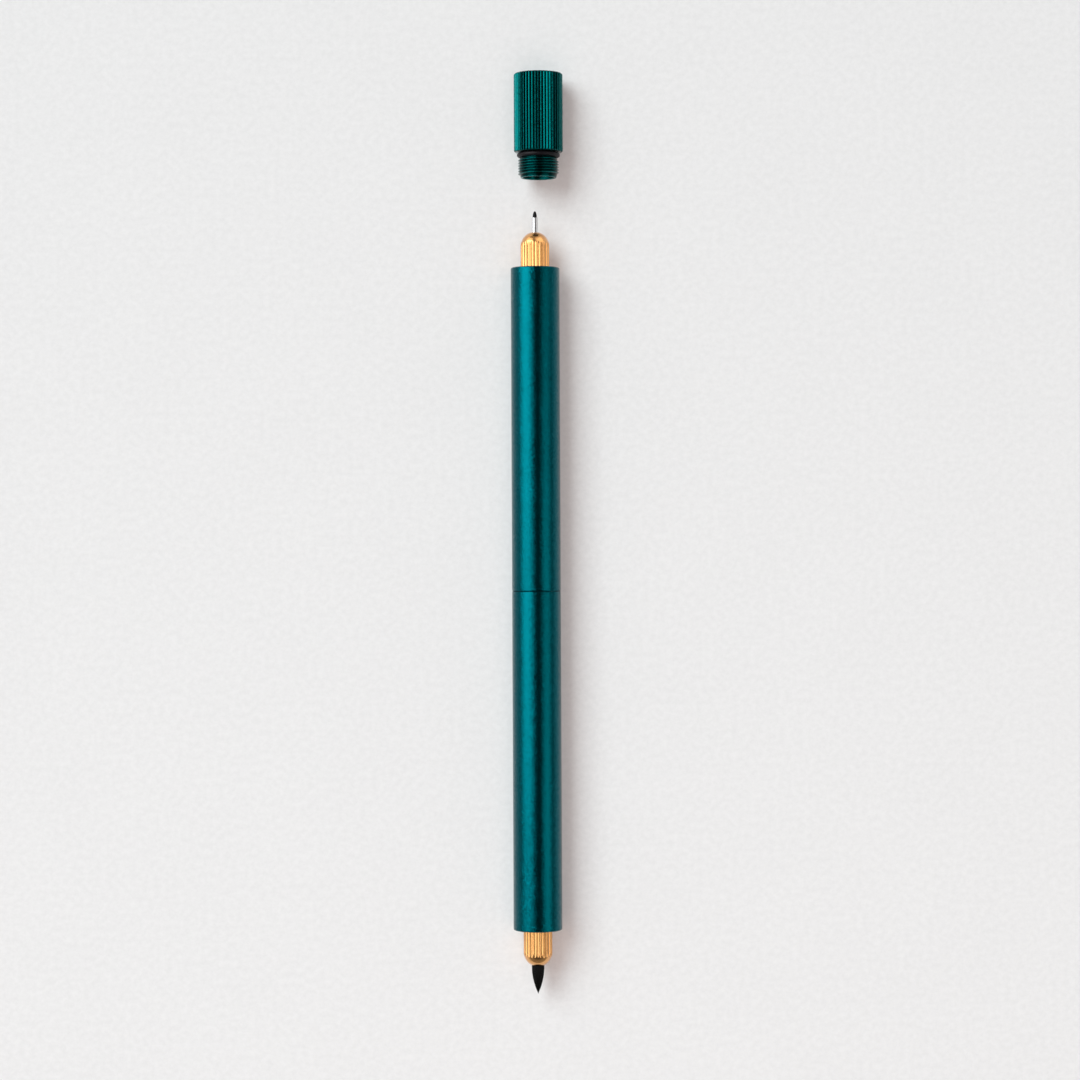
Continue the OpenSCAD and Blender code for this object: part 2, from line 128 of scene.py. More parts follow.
def joinRings(shape, first, second):
    for step in range(max(len(first), len(second))):
        ahead = step + 1
        around = [first[step % len(first)], first[ahead % len(first)],
                  second[ahead % len(second)], second[step % len(second)]]
        shape.faces.new(list(dict.fromkeys(around)))  # a pole leaves a triangle


def turnedBlank(name, corners, axis, steps):
    closed = corners[0]["radius"] > poleRadius
    rows = outlineRows(corners, closed)
    shape = bmesh.new()
    rules = sorted({rule for _, _, rule in rows if rule})
    for rule in rules:
        shape.verts.layers.float.new(rule)
    marks = {rule: shape.verts.layers.float[rule] for rule in rules}
    rings = []
    for radius, along, rule in rows:
        ring = []
        for step in range(steps if radius > poleRadius else 1):
            angle = 2 * math.pi * step / steps
            vert = shape.verts.new(((axis[0] + radius * math.sin(angle)) * mm, along * mm,
                                    (axis[1] - radius * math.cos(angle)) * mm))
            if rule:
                vert[marks[rule]] = 1.0
            ring.append(vert)
        rings.append(ring)
    for first, second in zip(rings, rings[1:] + rings[:1] if closed else rings[1:]):
        joinRings(shape, first, second)
    bmesh.ops.recalc_face_normals(shape, faces=shape.faces)
    mesh = bpy.data.meshes.new(name)
    shape.to_mesh(mesh)
    shape.free()
    piece = bpy.data.objects.new(name, mesh)
    bpy.context.scene.collection.objects.link(piece)
    return piece


def softenThread(mesh):
    marks = mesh.attributes.get("thread")
    if marks:
        onThread = [mark.value > 0.5 for mark in marks.data]
        for edge in mesh.edges:
            if all(onThread[vert] for vert in edge.vertices):
                edge.use_edge_sharp = False


def finishPiece(piece, body, node, sharpAngle=35):
    piece.data.shade_smooth()
    piece.data.set_sharp_from_angle(angle=math.radians(sharpAngle))
    softenThread(piece.data)
    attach(piece, body)
    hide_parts(node)
    print("piece", piece.name, "rides", body, "with", len(piece.data.polygons), "faces")
    return piece


# Node helpers, for geometry and for finishes alike

def feed(tree, socket, value):
    if isinstance(value, bpy.types.NodeSocket):
        tree.links.new(value, socket)
    else:
        socket.default_value = value


def calc(tree, operation, *values):
    node = tree.nodes.new("ShaderNodeMath")
    node.operation = operation
    for socket, value in zip(node.inputs, values):
        feed(tree, socket, value)
    return node.outputs[0]


def clamped(tree, value):
    return calc(tree, "MINIMUM", calc(tree, "MAXIMUM", value, 0.0), 1.0)


def vectorOf(tree, x, y, z):
    node = tree.nodes.new("ShaderNodeCombineXYZ")
    for socket, value in zip(node.inputs, (x, y, z)):
        feed(tree, socket, value)
    return node.outputs[0]


def partsOf(tree, vector):
    node = tree.nodes.new("ShaderNodeSeparateXYZ")
    tree.links.new(vector, node.inputs[0])
    return node.outputs


def lengthOf(tree, x, z):
    return calc(tree, "SQRT", calc(tree, "MULTIPLY_ADD", x, x, calc(tree, "MULTIPLY", z, z)))


def newRule(name, sizes):
    tree = bpy.data.node_groups.new(name, "GeometryNodeTree")
    tree.interface.new_socket("Blank", in_out="INPUT", socket_type="NodeSocketGeometry")
    for size in sizes:
        tree.interface.new_socket(size, in_out="INPUT", socket_type="NodeSocketFloat")
    tree.interface.new_socket("Finish", in_out="INPUT", socket_type="NodeSocketMaterial")
    tree.interface.new_socket("Piece", in_out="OUTPUT", socket_type="NodeSocketGeometry")
    return tree, tree.nodes.new("NodeGroupInput").outputs


def endRule(tree, given, geometry):
    realize = tree.nodes.new("GeometryNodeRealizeInstances")
    paint = tree.nodes.new("GeometryNodeSetMaterial")
    end = tree.nodes.new("NodeGroupOutput")
    tree.links.new(geometry, realize.inputs["Geometry"])
    tree.links.new(realize.outputs["Geometry"], paint.inputs["Geometry"])
    tree.links.new(given["Finish"], paint.inputs["Material"])
    tree.links.new(paint.outputs["Geometry"], end.inputs["Piece"])
    return tree


def aroundAxis(tree, given, heading=1.0):
    parts = partsOf(tree, tree.nodes.new("GeometryNodeInputPosition").outputs[0])
    x = calc(tree, "SUBTRACT", parts["X"], given["Axis X"])
    z = calc(tree, "SUBTRACT", parts["Z"], given["Axis Z"])
    radius = lengthOf(tree, x, z)
    down = calc(tree, "MULTIPLY", calc(tree, "MULTIPLY", z, -1.0), heading)
    turn = calc(tree, "FRACT", calc(tree, "DIVIDE", calc(tree, "ARCTAN2", down, x), 2 * math.pi))
    return {"x": x, "z": z, "along": parts["Y"], "radius": radius, "turn": turn}


def setRadius(tree, given, around, mark, wanted):
    weight = tree.nodes.new("GeometryNodeInputNamedAttribute")
    weight.inputs["Name"].default_value = mark
    change = calc(tree, "SUBTRACT", wanted, around["radius"])
    radius = calc(tree, "MULTIPLY_ADD", change, weight.outputs["Attribute"], around["radius"])
    scale = calc(tree, "DIVIDE", radius, around["radius"])
    move = tree.nodes.new("GeometryNodeSetPosition")
    tree.links.new(given["Blank"], move.inputs["Geometry"])
    x = calc(tree, "MULTIPLY_ADD", around["x"], scale, given["Axis X"])
    z = calc(tree, "MULTIPLY_ADD", around["z"], scale, given["Axis Z"])
    tree.links.new(vectorOf(tree, x, around["along"], z), move.inputs["Position"])
    return move.outputs["Geometry"]


def workPiece(piece, rule, finish, sizes):
    modifier = piece.modifiers.new(rule.name, "NODES")
    modifier.node_group = rule
    for item in rule.interface.items_tree:
        if item.in_out == "INPUT" and item.name in sizes:
            modifier[item.identifier] = float(sizes[item.name])
        elif item.name == "Finish":
            modifier[item.identifier] = finish
    graph = bpy.context.evaluated_depsgraph_get()
    worked = bpy.data.meshes.new_from_object(piece.evaluated_get(graph), depsgraph=graph)
    piece.modifiers.remove(modifier)
    blank = piece.data
    piece.data = worked
    bpy.data.meshes.remove(blank)
    worked.name = piece.name
    return piece


def axisSizes(axis):
    return {"Axis X": axis[0] * mm, "Axis Z": axis[1] * mm}


# Rules that work a blank, in metres

def makeRibRule():
    # straight-sided ribs with narrow lands and sharp valleys
    tree, given = newRule("capRibs", ["Axis X", "Axis Z", "Count", "Depth", "Radius", "Land"])
    around = aroundAxis(tree, given)
    lap = calc(tree, "FRACT", calc(tree, "MULTIPLY", around["turn"], given["Count"]))
    aside = calc(tree, "MULTIPLY", calc(tree, "ABSOLUTE", calc(tree, "SUBTRACT", lap, 0.5)), 2.0)
    flank = calc(tree, "SUBTRACT", 1.0, given["Land"])
    slope = calc(tree, "SUBTRACT", 1.0, calc(tree, "DIVIDE", aside, flank))
    groove = calc(tree, "MULTIPLY", clamped(tree, slope), given["Depth"])
    wanted = calc(tree, "MINIMUM", around["radius"], calc(tree, "SUBTRACT", given["Radius"], groove))
    return endRule(tree, given, setRadius(tree, given, around, "rib", wanted))


def makeFluteRule():
    tree, given = newRule("noseFlutes", ["Axis X", "Axis Z", "Count", "Cutter", "Place"])
    around = aroundAxis(tree, given)
    lap = calc(tree, "FRACT", calc(tree, "MULTIPLY_ADD", around["turn"], given["Count"], 0.5))
    part = calc(tree, "DIVIDE", calc(tree, "SUBTRACT", lap, 0.5), given["Count"])
    angle = calc(tree, "MULTIPLY", part, 2 * math.pi)
    side = calc(tree, "MULTIPLY", calc(tree, "SINE", angle), given["Place"])
    ahead = calc(tree, "MULTIPLY", calc(tree, "COSINE", angle), given["Place"])
    room = calc(tree, "SUBTRACT", calc(tree, "MULTIPLY", given["Cutter"], given["Cutter"]),
                calc(tree, "MULTIPLY", side, side))
    floor = calc(tree, "SUBTRACT", ahead, calc(tree, "SQRT", calc(tree, "MAXIMUM", room, 0.0)))
    wanted = calc(tree, "MINIMUM", around["radius"], floor)
    return endRule(tree, given, setRadius(tree, given, around, "flute", wanted))


def makeThreadRule():
    tree, given = newRule("screwThread", ["Axis X", "Axis Z", "Heading", "Start", "Pitch", "Turns",
                                          "Depth", "Base", "Flank", "Fade"])
    around = aroundAxis(tree, given, given["Heading"])
    rise = calc(tree, "MULTIPLY", calc(tree, "SUBTRACT", around["along"], given["Start"]), given["Heading"])
    climb = calc(tree, "SUBTRACT", calc(tree, "DIVIDE", rise, given["Pitch"]), 0.5)
    place = calc(tree, "SUBTRACT", climb, around["turn"])
    nearest = calc(tree, "ROUND", place)
    aside = calc(tree, "ABSOLUTE", calc(tree, "SUBTRACT", place, nearest))
    off = calc(tree, "MULTIPLY", aside, given["Pitch"])
    ridge = clamped(tree, calc(tree, "DIVIDE", calc(tree, "SUBTRACT", given["Base"], off), given["Flank"]))
    path = calc(tree, "ADD", nearest, around["turn"])
    left = calc(tree, "SUBTRACT", calc(tree, "SUBTRACT", given["Turns"], 1.0), path)
    grown = clamped(tree, calc(tree, "DIVIDE", calc(tree, "MINIMUM", path, left), given["Fade"]))
    height = calc(tree, "MULTIPLY", calc(tree, "MULTIPLY", ridge, grown), given["Depth"])
    wanted = calc(tree, "ADD", around["radius"], height)
    return endRule(tree, given, setRadius(tree, given, around, "thread", wanted))


def sweptLine(tree, count, x, y, z, profileRadius, profileSides, taper):
    line = tree.nodes.new("GeometryNodeCurvePrimitiveLine")
    resample = tree.nodes.new("GeometryNodeResampleCurve")
    move = tree.nodes.new("GeometryNodeSetPosition")
    circle = tree.nodes.new("GeometryNodeCurvePrimitiveCircle")
    sweep = tree.nodes.new("GeometryNodeCurveToMesh")
    feed(tree, resample.inputs["Count"], count)
    circle.inputs["Resolution"].default_value = profileSides
    feed(tree, circle.inputs["Radius"], profileRadius)
    tree.links.new(line.outputs["Curve"], resample.inputs["Curve"])
    tree.links.new(resample.outputs["Curve"], move.inputs["Geometry"])
    tree.links.new(vectorOf(tree, x, y, z), move.inputs["Position"])
    tree.links.new(move.outputs["Geometry"], sweep.inputs["Curve"])
    tree.links.new(circle.outputs["Curve"], sweep.inputs["Profile Curve"])
    feed(tree, sweep.inputs["Scale"], taper)
    sweep.inputs["Fill Caps"].default_value = True
    return sweep.outputs["Mesh"]


def laidAlong(tree, given, geometry):
    # what is drawn upright goes on the pen's axis; heading 1 points to the cap, -1 to the brush
    lay = tree.nodes.new("GeometryNodeTransform")
    lean = calc(tree, "MULTIPLY", given["Heading"], -math.pi / 2)
    tree.links.new(geometry, lay.inputs["Geometry"])
    place = vectorOf(tree, given["Axis X"], given["Start"], given["Axis Z"])
    tree.links.new(place, lay.inputs["Translation"])
    tree.links.new(vectorOf(tree, lean, 0.0, 0.0), lay.inputs["Rotation"])
    return lay.outputs["Geometry"]


def makeCoilRule():
    wirePoints = 300
    wireSides = 12
    tree, given = newRule("springCoil", ["Axis X", "Axis Z", "Heading", "Start", "Length", "Radius",
                                         "Wire", "Coils", "Closed"])
    share = tree.nodes.new("GeometryNodeSplineParameter").outputs["Factor"]
    angle = calc(tree, "MULTIPLY", calc(tree, "MULTIPLY", share, given["Coils"]), 2 * math.pi)
    x = calc(tree, "MULTIPLY", calc(tree, "COSINE", angle), given["Radius"])
    y = calc(tree, "MULTIPLY", calc(tree, "SINE", angle), given["Radius"])
    shut = calc(tree, "MULTIPLY", given["Wire"], given["Coils"])
    free = calc(tree, "SUBTRACT", calc(tree, "SUBTRACT", given["Length"], given["Wire"]), shut)
    openShare = calc(tree, "SUBTRACT", 1.0, calc(tree, "MULTIPLY", given["Closed"], 2.0))
    middle = clamped(tree, calc(tree, "DIVIDE", calc(tree, "SUBTRACT", share, given["Closed"]), openShare))
    z = calc(tree, "MULTIPLY_ADD", share, shut, calc(tree, "MULTIPLY", middle, free))
    z = calc(tree, "MULTIPLY_ADD", given["Wire"], 0.5, z)
    wire = calc(tree, "MULTIPLY", given["Wire"], 0.5)
    mesh = sweptLine(tree, wirePoints, x, y, z, wire, wireSides, 1.0)
    return endRule(tree, given, laidAlong(tree, given, mesh))


def makeStrandRule():
    strandPoints = 16
    strandSides = 5
    thinning = 0.75  # share of its thickness that a strand loses
    stray = 0.4  # share of the spacing that a strand may leave its place by
    tree, given = newRule("brushStrands", ["Axis X", "Axis Z", "Heading", "Start", "Lead", "Length", "Root",
                                           "Strand", "Count", "Uneven", "Seed"])
    share = tree.nodes.new("GeometryNodeSplineParameter").outputs["Factor"]
    whole = calc(tree, "ADD", given["Length"], given["Lead"])
    z = calc(tree, "SUBTRACT", calc(tree, "MULTIPLY", share, whole), given["Lead"])
    # the point is an arc that runs into the straight root
    rootTwice = calc(tree, "MULTIPLY", given["Root"], 2.0)
    squares = calc(tree, "MULTIPLY_ADD", given["Root"], given["Root"],
                   calc(tree, "MULTIPLY", given["Length"], given["Length"]))
    arc = calc(tree, "DIVIDE", squares, rootTwice)
    up = calc(tree, "MAXIMUM", z, 0.0)
    chord = calc(tree, "SQRT", calc(tree, "SUBTRACT", calc(tree, "MULTIPLY", arc, arc),
                                    calc(tree, "MULTIPLY", up, up)))
    edge = calc(tree, "ADD", calc(tree, "SUBTRACT", chord, arc), given["Root"])
    x = calc(tree, "MAXIMUM", calc(tree, "SUBTRACT", edge, given["Strand"]), 0.0)
    taper = calc(tree, "SUBTRACT", 1.0, calc(tree, "MULTIPLY", share, thinning))
    strand = sweptLine(tree, strandPoints, x, 0.0, z, given["Strand"], strandSides, taper)
    points = tree.nodes.new("GeometryNodePoints")
    place = tree.nodes.new("GeometryNodeInstanceOnPoints")
    spread = tree.nodes.new("FunctionNodeRandomValue")
    reach = tree.nodes.new("FunctionNodeRandomValue")
    twist = tree.nodes.new("FunctionNodeAxisAngleToRotation")
    index = tree.nodes.new("GeometryNodeInputIndex").outputs[0]
    feed(tree, points.inputs["Count"], given["Count"])
    for node, low, high, seedStep in ((spread, -stray, stray, 0.0), (reach, given["Uneven"], 1.0, 1.0)):
        sockets = {socket.identifier: socket for socket in node.inputs}
        feed(tree, sockets["Min_001"], low)
        feed(tree, sockets["Max_001"], high)
        feed(tree, sockets["Seed"], calc(tree, "ADD", given["Seed"], seedStep))
    spreadOut = next(socket for socket in spread.outputs if socket.identifier == "Value_001")
    reachOut = next(socket for socket in reach.outputs if socket.identifier == "Value_001")
    lap = calc(tree, "DIVIDE", calc(tree, "ADD", index, spreadOut), given["Count"])
    twist.inputs["Axis"].default_value = (0, 0, 1)
    tree.links.new(calc(tree, "MULTIPLY", lap, 2 * math.pi), twist.inputs["Angle"])
    tree.links.new(points.outputs[0], place.inputs["Points"])
    tree.links.new(strand, place.inputs["Instance"])
    tree.links.new(twist.outputs["Rotation"], place.inputs["Rotation"])
    tree.links.new(vectorOf(tree, 1.0, 1.0, reachOut), place.inputs["Scale"])
    join = tree.nodes.new("GeometryNodeJoinGeometry")
    tree.links.new(laidAlong(tree, given, place.outputs["Instances"]), join.inputs["Geometry"])
    tree.links.new(given["Blank"], join.inputs["Geometry"])
    return endRule(tree, given, join.outputs["Geometry"])


ribRule = makeRibRule()
fluteRule = makeFluteRule()
threadRule = makeThreadRule()
coilRule = makeCoilRule()
strandRule = makeStrandRule()
print("rules ready")


# Effects that the finishes share

def newEffect(name, sizes, results):
    tree = bpy.data.node_groups.new(name, "ShaderNodeTree")
    tree.interface.new_socket("Vector", in_out="INPUT", socket_type="NodeSocketVector")
    for size in sizes:
        tree.interface.new_socket(size, in_out="INPUT", socket_type="NodeSocketFloat")
    for result in results:
        tree.interface.new_socket(result, in_out="OUTPUT", socket_type="NodeSocketFloat")
    return tree, tree.nodes.new("NodeGroupInput").outputs, tree.nodes.new("NodeGroupOutput").inputs


def noiseOf(tree, vector, scale, detail, roughness):
    noise = tree.nodes.new("ShaderNodeTexNoise")
    tree.links.new(vector, noise.inputs["Vector"])
    feed(tree, noise.inputs["Scale"], scale)
    noise.inputs["Detail"].default_value = detail
    noise.inputs["Roughness"].default_value = roughness
    return noise.outputs["Fac"]


def perSize(tree, size):
    return calc(tree, "DIVIDE", 1.0 / mm, size)  # a size in millimetres as repeats in a metre


def makeBlastedGrain():
    tree, given, out = newEffect("blastedGrain", ["Size"], ["Grain", "Cloud"])
    cloudShare = 0.06  # a cloud is some 17 grains wide
    scale = perSize(tree, given["Size"])
    fine = noiseOf(tree, given["Vector"], scale, detail=3.0, roughness=0.65)
    tree.links.new(fine, out["Grain"])
    cloudScale = calc(tree, "MULTIPLY", scale, cloudShare)
    cloud = noiseOf(tree, given["Vector"], cloudScale, detail=4.0, roughness=0.6)
    tree.links.new(cloud, out["Cloud"])
    return tree


def makeTurningLines():
    # rings around the centre line, which also run round a flat end
    tree, given, out = newEffect("turningLines", ["Spacing", "Waver"], ["Lines"])
    x, y, z = partsOf(tree, given["Vector"])
    across = calc(tree, "ADD", y, lengthOf(tree, x, z))
    across = calc(tree, "MULTIPLY", across, perSize(tree, given["Spacing"]))
    slow = perSize(tree, given["Waver"])
    vector = vectorOf(tree, calc(tree, "MULTIPLY", x, slow), across, calc(tree, "MULTIPLY", z, slow))
    tree.links.new(noiseOf(tree, vector, 1.0, detail=3.0, roughness=0.6), out["Lines"])
    return tree


def makeFibreStreaks():
    # streaks along the pen, for drawn metal and for fibres
    tree, given, out = newEffect("fibreStreaks", ["Width", "Length"], ["Streaks"])
    x, y, z = partsOf(tree, given["Vector"])
    wide = perSize(tree, given["Width"])
    along = calc(tree, "MULTIPLY", y, perSize(tree, given["Length"]))
    vector = vectorOf(tree, calc(tree, "MULTIPLY", x, wide), along, calc(tree, "MULTIPLY", z, wide))
    tree.links.new(noiseOf(tree, vector, 1.0, detail=2.0, roughness=0.5), out["Streaks"])
    return tree


blastedGrain = makeBlastedGrain()
turningLines = makeTurningLines()
fibreStreaks = makeFibreStreaks()


def newFinish(name, axis=penAxis):
    finish = bpy.data.materials.new(name)
    finish.use_nodes = True
    tree = finish.node_tree
    place = tree.nodes.new("ShaderNodeTexCoord")
    centre = tree.nodes.new("ShaderNodeMapping")
    centre.inputs["Location"].default_value = (-axis[0] * mm, 0, -axis[1] * mm)
    tree.links.new(place.outputs["Object"], centre.inputs["Vector"])
    return finish, tree, tree.nodes["Principled BSDF"], centre.outputs["Vector"]


def useEffect(tree, effect, vector, sizes):
    node = tree.nodes.new("ShaderNodeGroup")
    node.node_tree = effect
    tree.links.new(vector, node.inputs["Vector"])
    for name, size in sizes.items():
        node.inputs[name].default_value = size
    return node.outputs


def grainOf(tree, vector, look):
    return useEffect(tree, blastedGrain, vector, {"Size": look["grain"]})


def linesOf(tree, vector, look):
    sizes = {"Spacing": look["lines"], "Waver": look["waver"]}
    return useEffect(tree, turningLines, vector, sizes)["Lines"]


def streaksOf(tree, vector, look):
    sizes = {"Width": look["width"], "Length": look["length"]}
    return useEffect(tree, fibreStreaks, vector, sizes)["Streaks"]


def toneOf(tree, mask, look):
    stops = ((0.35, look["dark"]), (0.65, look["light"]))
    ramp = tree.nodes.new("ShaderNodeValToRGB")
    for element, (place, tone) in zip(ramp.color_ramp.elements, stops):
        element.position = place
        element.color = (*tone, 1)
    tree.links.new(mask, ramp.inputs["Fac"])
    return ramp.outputs["Color"]


def rangeOf(tree, mask, low, high, fromLow=0.3, fromHigh=0.7):
    node = tree.nodes.new("ShaderNodeMapRange")
    tree.links.new(mask, node.inputs["Value"])
    for name, value in (("From Min", fromLow), ("From Max", fromHigh), ("To Min", low), ("To Max", high)):
        node.inputs[name].default_value = value
    return node.outputs["Result"]


def roughOf(tree, mask, look):
    return rangeOf(tree, mask, look["smooth"], look["rough"])


def mixOf(tree, first, second, share):
    return calc(tree, "MULTIPLY_ADD", calc(tree, "SUBTRACT", second, first), share, first)


def reliefOf(tree, height, depth, normal=None):
    bump = tree.nodes.new("ShaderNodeBump")
    bump.inputs["Strength"].default_value = 1.0
    bump.inputs["Distance"].default_value = depth * mm
    tree.links.new(height, bump.inputs["Height"])
    if normal:
        tree.links.new(normal, bump.inputs["Normal"])
    return bump.outputs["Normal"]


def facetsOf(tree, vector, size, tilt, normal):
    # each blasted dimple tips the surface its own way
    cells = tree.nodes.new("ShaderNodeTexVoronoi")
    tree.links.new(vector, cells.inputs["Vector"])
    cells.inputs["Scale"].default_value = 1.0 / (size * mm)
    lean = tree.nodes.new("ShaderNodeVectorMath")
    lean.operation = "SUBTRACT"
    tree.links.new(cells.outputs["Color"], lean.inputs[0])
    lean.inputs[1].default_value = (0.5, 0.5, 0.5)
    tipped = tree.nodes.new("ShaderNodeVectorMath")
    tipped.operation = "MULTIPLY_ADD"
    tree.links.new(lean.outputs["Vector"], tipped.inputs[0])
    tipped.inputs[1].default_value = (tilt, tilt, tilt)
    tree.links.new(normal, tipped.inputs[2])
    unit = tree.nodes.new("ShaderNodeVectorMath")
    unit.operation = "NORMALIZE"
    tree.links.new(tipped.outputs["Vector"], unit.inputs[0])
    return unit.outputs["Vector"]


def setShader(tree, shader, color, roughness, normal, plain):
    tree.links.new(color, shader.inputs["Base Color"])
    tree.links.new(roughness, shader.inputs["Roughness"])
    tree.links.new(normal, shader.inputs["Normal"])
    for name, value in plain.items():
        shader.inputs[name].default_value = value


def paintValleyShade(tree, vector, color, shadedValley):
    # painted shade: the colour is darkened low between ribs and between threads, where shade falls in the
    # grooves
    marked = tree.nodes.new("ShaderNodeAttribute")
    marked.attribute_name = shadedValley["mark"]
    parts = partsOf(tree, vector)
    reach = lengthOf(tree, parts["X"], parts["Z"])
    depth = rangeOf(tree, reach, shadedValley["tone"], 1.0, shadedValley["low"] * mm, shadedValley["high"] * mm)
    mix = tree.nodes.new("ShaderNodeMixRGB")
    mix.blend_type = "MULTIPLY"
    mix.inputs["Fac"].default_value = 1.0
    tree.links.new(color, mix.inputs["Color1"])
    tree.links.new(mixOf(tree, 1.0, depth, marked.outputs["Fac"]), mix.inputs["Color2"])
    return mix.outputs["Color"]


def makeAnodisedTeal(name, axis, look):
    finish, tree, shader, vector = newFinish(name, axis)
    grain = grainOf(tree, vector, look)
    lines = linesOf(tree, vector, look)
    tone = mixOf(tree, grain["Grain"], grain["Cloud"], look["cloudTone"])
    wear = mixOf(tree, lines, grain["Cloud"], look["cloudWear"])
    color = toneOf(tree, tone, look)
    rough = roughOf(tree, wear, look)
    normal = reliefOf(tree, lines, look["lineDepth"])
    normal = reliefOf(tree, grain["Grain"], look["grainDepth"], normal)
    normal = facetsOf(tree, vector, look["facet"], look["facetTilt"], normal)
    # painted shade in the rib and thread valleys, where the look lists any
    for shadedValley in look["valleyShades"]:
        color = paintValleyShade(tree, vector, color, shadedValley)
    setShader(tree, shader, color, rough, normal, {"Metallic": 1.0})
    return finish


def makePolishedBrass():
    look = {"dark": (0.70, 0.315, 0.076), "light": (0.77, 0.375, 0.104), "grain": 0.3, "lines": 0.05,
            "waver": 4.0, "grainWear": 0.5, "smooth": 0.18, "rough": 0.25, "lineDepth": 0.0001}
    lacquer = {"Coat Weight": 0.9, "Coat IOR": 1.55, "Coat Roughness": 0.2}
    finish, tree, shader, vector = newFinish("polishedBrass")
    grain = grainOf(tree, vector, look)
    lines = linesOf(tree, vector, look)
    color = toneOf(tree, grain["Cloud"], look)
    wear = mixOf(tree, lines, grain["Grain"], look["grainWear"])
    rough = roughOf(tree, wear, look)
    setShader(tree, shader, color, rough, reliefOf(tree, lines, look["lineDepth"]),
              {"Metallic": 1.0, **lacquer})
    return finish


def makeDrawnSteel():
    look = {"dark": (0.60, 0.60, 0.61), "light": (0.74, 0.74, 0.75), "width": 0.03, "length": 3.0,
            "smooth": 0.20, "rough": 0.30, "depth": 0.0004}
    finish, tree, shader, vector = newFinish("drawnSteel")
    streaks = streaksOf(tree, vector, look)
    color = toneOf(tree, streaks, look)
    rough = roughOf(tree, streaks, look)
    setShader(tree, shader, color, rough, reliefOf(tree, streaks, look["depth"]), {"Metallic": 1.0})
    return finish


def makeFibre(name, look):
    finish, tree, shader, vector = newFinish(name)
    streaks = streaksOf(tree, vector, look)
    grain = grainOf(tree, vector, look)["Grain"]
    both = mixOf(tree, streaks, grain, look["grainShare"])
    color = toneOf(tree, both, look)
    rough = roughOf(tree, both, look)
    sheen = {"Specular IOR Level": look["gloss"], "Sheen Weight": look["sheen"],
             "Sheen Roughness": look["sheenRough"]}
    setShader(tree, shader, color, rough, reliefOf(tree, both, look["depth"]), sheen)
    return finish


def makeSealRubber(axis, name):
    look = {"dark": (0.002, 0.001, 0.002), "light": (0.006, 0.004, 0.006), "grain": 0.12,
            "cloudTone": 0.6, "smooth": 0.38, "rough": 0.55, "depth": 0.002}
    sheen = {"Specular IOR Level": 0.2, "Sheen Weight": 0.01, "Sheen Tint": (0.75, 0.65, 0.80, 1)}
    finish, tree, shader, vector = newFinish(name, axis)
    grain = grainOf(tree, vector, look)
    tone = mixOf(tree, grain["Grain"], grain["Cloud"], look["cloudTone"])
    color = toneOf(tree, tone, look)
    rough = roughOf(tree, grain["Cloud"], look)
    setShader(tree, shader, color, rough, reliefOf(tree, grain["Grain"], look["depth"]), sheen)
    return finish


def makeMoulded(name, look):
    finish, tree, shader, vector = newFinish(name)
    grain = grainOf(tree, vector, look)
    lines = linesOf(tree, vector, look)
    color = toneOf(tree, grain["Cloud"], look)
    wear = mixOf(tree, grain["Grain"], lines, look["lineWear"])
    rough = roughOf(tree, wear, look)
    setShader(tree, shader, color, rough, reliefOf(tree, grain["Grain"], look["depth"]),
              {"Subsurface Weight": look["milk"], "Subsurface Scale": look["milkDepth"] * mm})
    return finish


nibLook = {"dark": (0.004, 0.004, 0.005), "light": (0.016, 0.016, 0.017), "width": 0.05, "length": 0.8,
           "grain": 0.06, "grainShare": 0.5, "smooth": 0.45, "rough": 0.65, "depth": 0.004, "gloss": 0.12,
           "sheen": 0.0, "sheenRough": 0.4}
brushLook = {"dark": (0.001, 0.001, 0.001), "light": (0.006, 0.005, 0.005), "width": 0.06, "length": 3.0,
             "grain": 0.1, "grainShare": 0.2, "smooth": 0.30, "rough": 0.50, "depth": 0.002, "gloss": 0.12,
             "sheen": 0.0, "sheenRough": 0.4}
feltLook = {"dark": (0.030, 0.032, 0.045), "light": (0.085, 0.088, 0.110), "width": 0.08, "length": 2.0,
            "grain": 0.15, "grainShare": 0.4, "smooth": 0.75, "rough": 0.92, "depth": 0.01, "gloss": 0.2,
            "sheen": 0.2, "sheenRough": 0.4}
whiteLook = {"dark": (0.74, 0.73, 0.69), "light": (0.82, 0.81, 0.78), "grain": 0.2, "lines": 0.2,
             "waver": 6.0, "lineWear": 0.3, "smooth": 0.34, "rough": 0.46, "depth": 0.0008, "milk": 0.15,
             "milkDepth": 0.4}
tubeLook = {"dark": (0.60, 0.64, 0.66), "light": (0.72, 0.75, 0.76), "grain": 0.3, "lines": 0.3,
            "waver": 6.0, "lineWear": 0.3, "smooth": 0.16, "rough": 0.26, "depth": 0.0004, "milk": 0.4,
            "milkDepth": 0.4}

barrelLook = {"dark": (0.0002, 0.074, 0.092), "light": (0.0003, 0.092, 0.114), "grain": 0.30, "lines": 0.09,
              "waver": 7.0, "smooth": 0.19, "rough": 0.27, "grainDepth": 0.020, "lineDepth": 0.0009,
              "facet": 0.13, "facetTilt": 0.22, "cloudTone": 0.4, "cloudWear": 0.5, "valleyShades": []}
barrelTeal = makeAnodisedTeal("anodisedTealBarrel", penAxis, barrelLook)
finishes = {
    "anodised_teal": barrelTeal,
    "polished_brass": makePolishedBrass(),
    "steel": makeDrawnSteel(),
    "nib_fibre": makeFibre("inkedNib", nibLook),
    "brush_fibre": makeFibre("inkedBrush", brushLook),
    "wick_felt": makeFibre("inkedFelt", feltLook),
    "seal_rubber": makeSealRubber(penAxis, "sealRubber"),
    "white_plastic": makeMoulded("mouldedWhite", whiteLook),
    "cartridge_plastic": makeMoulded("milkyTube", tubeLook),
}
capRubber = makeSealRubber(capAxis, "sealRubberCap")
print("finishes ready:", len(bpy.data.materials))


